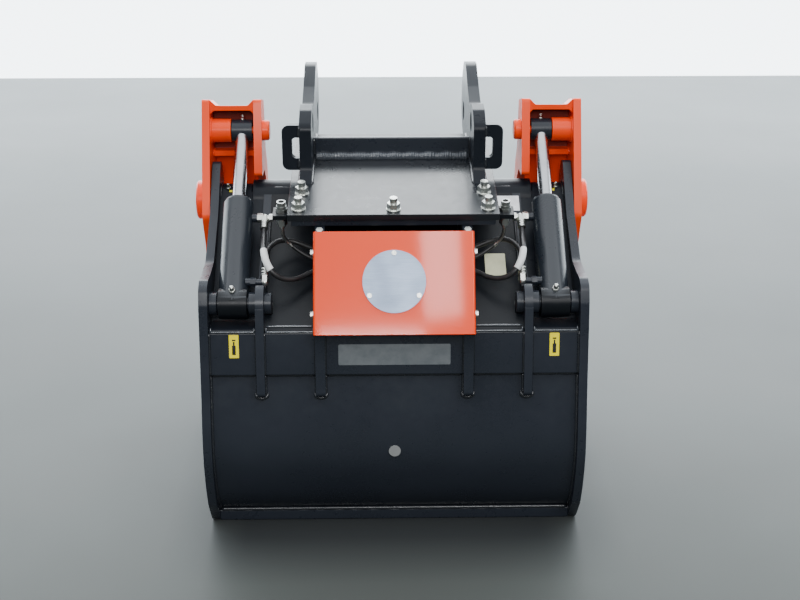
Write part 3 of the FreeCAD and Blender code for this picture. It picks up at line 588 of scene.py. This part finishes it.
for sg in (1, -1):
    weld(wp, [S(sg * 381.6, belly_y(z) - 0.6, z) for z in range(28, 367, 4)], 0.0036, seed); seed += 1
    weld(wp, [S(sg * 381.6, beam_y(z) - 0.4, z) for z in (369, 410, 457)], 0.0032, seed); seed += 1
    # hitch ears on the hitch plate, cross bar, lifting eyes
    for x in (174.0, 200.0):
        a0 = 141
        weld(wp, [S(sg * x, *hp(a0, 0.6)), S(sg * x, *hp(398, 0.6))], 0.0042, seed); seed += 1
    weld(wp, [S(sg * 173.6, 410.4, 740), S(sg * 173.6, 410.4, 778)], 0.0036, seed); seed += 1
    for z0, z1 in ((739, 761), (808, 831)):
        weld(wp, [S(sg * 200.6, 301.6, z0), S(sg * 200.6, 301.6, z1)], 0.0034, seed); seed += 1
        weld(wp, [S(sg * 200.6, 322.4, z0), S(sg * 200.6, 322.4, z1)], 0.0034, seed); seed += 1
    # ring round the pivot boss, and round the boss on the ear
    for (c, rr, x, br) in ((P, 36.3, 381.4, 0.003), ((636, 789), 42.2, 200.4, 0.003), (P, 36.3, 309.8, 0.0001)):
        if br < 0.001:
            continue
        weld(wp, [S(sg * x, c[0] + rr * math.cos(2 * math.pi * k / 48), c[1] + rr * math.sin(2 * math.pi * k / 48)) for k in range(49)], br, seed); seed += 1
    # the back plate against the outer ribs and the well plate against the side plate
    weld(wp, [S(sg * 267.6, *bp(a, 0.6)) for a in (150, 250, 312)], 0.0030, seed); seed += 1
    weld(wp, [S(sg * 163.4, *bp(a, 0.6)) for a in (4, 120, 372)], 0.0030, seed); seed += 1
    weld(wp, [S(sg * 142.6, *bp(a, 0.6)) for a in (4, 120, 372)], 0.0030, seed); seed += 1
heavy = Pool()
weld(heavy, [S(-172, 408.2, 737.2), S(172, 408.2, 737.2)], 0.0100, seed, 0.0056, 2.0); seed += 1
weld(wp, [S(-173, 424.4, 739.4), S(173, 424.4, 739.4)], 0.0050, seed); seed += 1
weld(wp, [S(-267, *bp(387, 1.0)), S(267, *bp(387, 1.0))], 0.0036, seed); seed += 1
wp.make("shell_weld_beads", M["weld"], "shell")
edge.make("beam_edge_welds", M["heavy_weld"], "shell")
heavy.make("cross_bar_weld", M["heavy_weld"], "shell")

wj = Pool()
wf = Pool()
for sg in (1, -1):
    for x, dx in ((306.6, 1), (401.4, -1)):
        weld(wj, [S(sg * (x + dx * 13.0), 420, 851.2), S(sg * (x + dx * 13.0), 480, 838.2)], 0.0016, seed); seed += 1
        weld(wj, [S(sg * x, 443.8, 732.0), S(sg * x, 443.8, 742.0)], 0.0026, seed); seed += 1
        weld(wj, [S(sg * x, 481.4, 737), S(sg * x, 481.4, 836)], 0.0030, seed); seed += 1
        weld(wj, [S(sg * x, 445, 743.2), S(sg * x, 468, 743.2)], 0.0026, seed); seed += 1
    weld(wj, [S(sg * 401.4, R[0] + 26.3 * math.cos(2 * math.pi * k / 36), R[1] + 26.3 * math.sin(2 * math.pi * k / 36)) for k in range(37)], 0.0028, seed); seed += 1
    # floor to the jaw sides, inside
    weld(wf, [S(sg * 381.4, 128, 12.6), S(sg * 381.4, 716, 12.6)], 0.0040, seed); seed += 1
wf.make("jaw_floor_welds", M["weld"], "jaw")
wj.make("jaw_weld_beads", M["orange_arm"], "jaw")

# ------------------------------------------------------------------ grease nipples, ferrules
for sd, sg in (("left", -1), ("right", 1)):
    g = Pool()
    nb = cp(13, 31.6, sg * 333)
    turned(g, nb, (0, -SA, CA), [(-1, 7.2), (4.4, 7.2), (4.8, 5.0)], 6)
    turned(g, nb, (0, -SA, CA), [(4.0, 5.0), (9.0, 4.8), (10.4, 3.2), (11.6, 4.2), (14.0, 5.0), (16.0, 3.8), (17.0, 1.6)], 14)
    # crimped ferrules on both hose ends at the barrel
    u0 = cp(208, 0, sg * 275.5)
    turned(g, u0 + Vector((0, -TS[0], -TS[1])) * 0.013, (0, -TS[0], -TS[1]), [(0, 7.0), (0.4, 8.6), (3, 8.6), (3.6, 7.7), (5.4, 7.7), (6, 8.6), (9, 8.6), (9.6, 7.7), (11.4, 7.7), (12, 8.6), (16.4, 8.6), (17.2, 7.0), (17.4, 5.6)], 20)
    l0 = cp(40.6, 18, sg * 268)
    ld = Vector((0, math.cos(math.radians(60)), math.sin(math.radians(60))))
    turned(g, l0 + ld * 0.013, ld, [(0, 7.0), (0.4, 8.6), (3, 8.6), (3.6, 7.7), (5.4, 7.7), (6, 8.6), (9, 8.6), (9.6, 7.7), (11.4, 7.7), (12, 8.6), (16.4, 8.6), (17.2, 7.0), (17.4, 5.6)], 20)
    g.make("barrel_fittings_" + sd, M["zinc"], "barrel_" + sd)
    g = Pool()
    nb = S(sg * 333, R[0] + 23.2 * 0.26, R[1] + 23.2 * 0.966)
    turned(g, nb, (0, 0.26, 0.966), [(-1, 5.6), (3.4, 5.6), (3.7, 4.0), (6.6, 3.8), (7.6, 2.6), (8.6, 3.4), (10.4, 3.9), (11.6, 2.8), (12.2, 1.2)], 14)
    g.make("rod_eye_nipple_" + sd, M["zinc"], "rod_" + sd)
    # nipple on the pivot boss, with its hexagon
    g = Pool()
    nb = S(sg * 366, P[0] - 35.9 * 0.5, P[1] + 35.9 * 0.866)
    turned(g, nb, (0, -0.5, 0.866), [(-0.5, 5.6), (4.6, 5.6), (4.9, 3.7)], 6)
    turned(g, nb, (0, -0.5, 0.866), [(4.0, 3.7), (9.6, 3.6), (10.8, 2.3), (11.8, 2.8), (13.6, 3.3), (15.2, 2.5), (15.8, 1.0)], 14)
    g.make("pivot_nipple_" + sd, M["zinc"], "shell")

# ------------------------------------------------------------------ hoses
U = [(275.5, B[0] + 208 * CA - 31.0 * TS[0], B[1] + 208 * SA - 31.0 * TS[1]), (275.2, 205, 612.5), (273.5, 172, 612.0), (270.5, 141, 606), (264, 116, 590), (250, 106, 569), (228, 112, 553.5),
     (200, 128, 549), (174, 149, 556), (148, 157, 562), (121, 154, 562.5), (95.2, 150, 560)]
LY, LZ = B[0] + 40.6 * CA - 18 * SA, B[1] + 40.6 * SA + 18 * CA
L = [(268, LY + 30.7 * 0.5, LZ + 30.7 * 0.866025), (268, LY + 46 * 0.5, LZ + 46 * 0.866025), (267.5, 156, 597.5), (261, 178, 603), (249, 197, 608), (232, 210, 608),
     (208, 215, 602), (182, 207, 593.5), (154, 197, 586.5), (125, 191, 584), (94.6, 190, 585)]


def spline_line(pts, name):
    cu = bpy.data.curves.new(name, "CURVE")
    cu.dimensions = "3D"
    sp = cu.splines.new("NURBS")
    sp.points.add(len(pts) - 1)
    for i, p in enumerate(pts):
        sp.points[i].co = (*p, 1)
    sp.order_u = 3
    sp.use_endpoint_u = True
    cu.resolution_u = 14
    o = bpy.data.objects.new(name, cu)
    COL.objects.link(o)
    bpy.context.view_layer.update()
    dg = bpy.context.evaluated_depsgraph_get()
    me = bpy.data.meshes.new_from_object(o.evaluated_get(dg))
    line = [v.co.copy() for v in me.vertices]
    bpy.data.objects.remove(o)
    bpy.data.meshes.remove(me)
    if (line[0] - Vector(pts[0])).length > (line[-1] - Vector(pts[0])).length:
        line.reverse()
    return line


def sub_line(line, a, b):
    """The part of the line between two distances along it."""
    out, s = [], 0.0
    for p, q in zip(line, line[1:]):
        d = (q - p).length
        if s + d >= a and s <= b:
            if not out:
                out.append(p.lerp(q, max(0.0, (a - s) / d)))
            if s + d <= b:
                out.append(q.copy())
            else:
                out.append(p.lerp(q, (b - s) / d))
        s += d
    return out


for sd, sg in (("left", -1), ("right", 1)):
    for key, pts in (("upper", U), ("lower", L)):
        rp = [S(sg * p[0], p[1], p[2]) for p in pts]
        line = spline_line(rp, "route")
        v, f = tube_data(line, 0.0055, 14)
        o = link("hose_%s_%s_rubber" % (key, sd), v, f, M["rubber"], None, True)
        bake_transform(o)
        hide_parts("hose_%s_%s" % (key, sd))
        if key == "upper":
            part = sub_line(line, 0.086, 0.138)
            v, f = tube_data(part, 0.0076, 18)
            sl = link("hose_sleeve_" + sd, v, f, M["sleeve"], None, True)
            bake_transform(sl)
            v, f = tube_data(sub_line(line, 0.018, 0.085), 0.0066, 16)
            cr = link("hose_clip_" + sd, v, f, M["black_metal"], None, True)
            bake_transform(cr)

# ------------------------------------------------------------------ stickers, plates
for sd, sg in (("left", -1), ("right", 1)):
    bu = Vector((0, 14.5, 90)).normalized()
    c = S(sg * 331, beam_y(430) - 0.05, 430)
    slab("grease_sticker_" + sd, c, (1, 0, 0), bu, 20, 49, 0.35, M["yellow"], "shell")
    cc = c + Vector((0, -90, 14.5)).normalized() * 0.00036
    pm = Pool()
    for (dx, dy, w, hgt) in ((0, -8, 7.5, 20), (0, 6, 3.4, 8), (0, 13, 7.5, 3)):
        q = cc + (Vector((1, 0, 0)) * dx + bu * dy) / 1000
        ux, uy = Vector((1, 0, 0)) * (w / 2000), bu * (hgt / 2000)
        nn = Vector((0, -90, 14.5)).normalized() * 0.0001
        vs = [q - ux - uy, q + ux - uy, q + ux + uy, q - ux + uy]
        pm.add([p for p in vs] + [p + nn for p in vs], [(3, 2, 1, 0), (4, 5, 6, 7), (0, 1, 5, 4), (1, 2, 6, 5), (2, 3, 7, 6), (3, 0, 4, 7)])
    pm.make("sticker_mark_" + sd, M["ink"], "shell", False)

    # small sticker bent round the pivot boss
    dot = Pool()
    vs = [S(sg * (355 + dx), P[0] + rr * math.cos(math.radians(a)), P[1] + rr * math.sin(math.radians(a))) for rr in (36.05, 36.35) for a in range(128, 172, 2) for dx in (-8.0, 8.0)]
    k = len(vs) // 2
    fs = []
    for i in range(0, k - 2, 2):
        fs += [(i, i + 1, i + 3, i + 2), (k + i, k + i + 2, k + i + 3, k + i + 1), (i, i + 2, k + i + 2, k + i), (i + 1, k + i + 1, k + i + 3, i + 3)]
    fs += [(0, k, k + 1, 1), (k - 2, k - 1, 2 * k - 1, 2 * k - 2)]
    dot.add(vs, fs)
    dot.make("boss_sticker_" + sd, M["yellow"], "shell", False)
slab("blank_label", S(218, *bp(165, 0.1)), (1, 0, 0), Vector((0, TS[0], TS[1])), 44, 67, 0.35, M["blank_label"], "shell", r=2)

strip_c = S(0, beam_y(411) - 0.05, 411)
slab("plain_strip", strip_c, (1, 0, 0), Vector((0, 14.5, 90)), 232, 44, 0.4, M["strip"], "shell", r=3)

# ------------------------------------------------------------------ floor, wall, light
floor_m, nt, b = mat("studio_floor")
v = coords(nt)
s1 = noise_tex(nt, v, 0.8, 5.0, 0.6)
s2 = noise_tex(nt, v, 14.0, 5.0, 0.65)
fy = node(nt, "ShaderNodeSeparateXYZ")
nt.links.new(node(nt, "ShaderNodeNewGeometry").outputs["Position"], fy.inputs["Vector"])
# painted light: the floor's colour runs from dark close to the camera to light towards the wall, standing in for the
# light falling off away from the bright wall
painted_falloff_mix = node(nt, "ShaderNodeMix", data_type="RGBA")
nt.links.new(maprange(nt, fy.outputs["Y"], 0.0, 1.0, -1.0, 3.6), painted_falloff_mix.inputs["Factor"])
nt.links.new(ramp(nt, s1, [(0.3, (0.045, 0.050, 0.046)), (0.7, (0.060, 0.066, 0.060))]), painted_falloff_mix.inputs[6])
nt.links.new(ramp(nt, s1, [(0.3, (0.176, 0.189, 0.191)), (0.7, (0.211, 0.224, 0.226))]), painted_falloff_mix.inputs[7])
# painted shadow: the ground is darkened under and close in front of the bucket's foot, standing in for the contact
# shadow below the belly
painted_shadow_y = maprange(nt, fy.outputs["Y"], 0.0, 1.0, -0.56, -0.38)
ax = node(nt, "ShaderNodeMath", operation="ABSOLUTE")
nt.links.new(fy.outputs["X"], ax.inputs[0])
painted_shadow_x = maprange(nt, ax.outputs[0], 1.0, 0.0, 0.32, 0.50)
painted_shadow = node(nt, "ShaderNodeMath", operation="MULTIPLY")
painted_shadow_end = node(nt, "ShaderNodeMath", operation="MULTIPLY")
nt.links.new(painted_shadow_y, painted_shadow_end.inputs[0])
nt.links.new(maprange(nt, fy.outputs["Y"], 1.0, 0.0, 0.25, 0.75), painted_shadow_end.inputs[1])
nt.links.new(painted_shadow_end.outputs[0], painted_shadow.inputs[0])
nt.links.new(painted_shadow_x, painted_shadow.inputs[1])
dark = node(nt, "ShaderNodeMix", data_type="RGBA")
nt.links.new(painted_shadow.outputs[0], dark.inputs["Factor"])
nt.links.new(painted_falloff_mix.outputs[2], dark.inputs[6])
# colour of the painted shadow
dark.inputs[7].default_value = (0.032, 0.035, 0.036, 1)
nt.links.new(dark.outputs[2], b.inputs["Base Color"])
nt.links.new(maprange(nt, s2, 0.42, 0.56, 0.3, 0.7), b.inputs["Roughness"])
b.inputs["Specular IOR Level"].default_value = 0.14
bpy.ops.mesh.primitive_plane_add(size=1, location=(0, 0, 0))
fl = bpy.context.object
fl.name = "studio_floor"
fl.scale = (30, 30, 1)
fl.location = (0, 0, -0.0004)
fl.data.materials.append(floor_m)
wall_m, nt, b = mat("studio_wall")
b.inputs["Base Color"].default_value = (0.86, 0.87, 0.87, 1)
b.inputs["Roughness"].default_value = 0.7
b.inputs["Emission Color"].default_value = (0.86, 0.945, 1.0, 1)
b.inputs["Emission Strength"].default_value = 5.6
bpy.ops.mesh.primitive_plane_add(size=1, location=(0, 4.62, 3.0), rotation=(math.radians(90), 0, 0))
wl = bpy.context.object
wl.name = "studio_wall"
wl.scale = (30, 8, 1)
wl.data.materials.append(wall_m)

world = bpy.data.worlds.new("studio")
bpy.context.scene.world = world
world.use_nodes = True
nt = world.node_tree
bg = next(n for n in nt.nodes if n.type == "BACKGROUND")
tc = node(nt, "ShaderNodeTexCoord")
sep = node(nt, "ShaderNodeSeparateXYZ")
nt.links.new(tc.outputs["Generated"], sep.inputs["Vector"])
nt.links.new(ramp(nt, maprange(nt, sep.outputs["Z"], 0.0, 1.0, -0.2, 1.0), [(0.0, (0.08, 0.085, 0.09)), (0.167, (0.10, 0.105, 0.11)), (0.383, (0.20, 0.21, 0.22)), (0.60, (0.36, 0.38, 0.40)), (0.74, (1.45, 1.51, 1.58)), (0.90, (2.20, 2.29, 2.38))]), bg.inputs["Color"])
bg.inputs["Strength"].default_value = 1.0


def area(name, loc, rot, size, power, colour=(1, 1, 1)):
    d = bpy.data.lights.new(name, "AREA")
    d.shape = "RECTANGLE"
    d.size, d.size_y = size
    d.energy = power
    d.color = colour
    o = bpy.data.objects.new(name, d)
    o.location = loc
    o.rotation_euler = tuple(math.radians(a) for a in rot)
    COL.objects.link(o)
    return o


area("back_panel", (0.0, 4.0, 3.9), (-47, 0, 0), (6.5, 1.5), 130)
area("key_right", (2.6, -4.2, 3.95), (55, 0, 31.8), (1.4, 1.2), 66)
area("gloss_band", (0.54, -4.2, 3.75), (52, 0, 7), (0.40, 1.1), 20)
area("key_low", (-0.18, -4.9, 2.75), (62, 0, 0), (1.1, 1.2), 98)
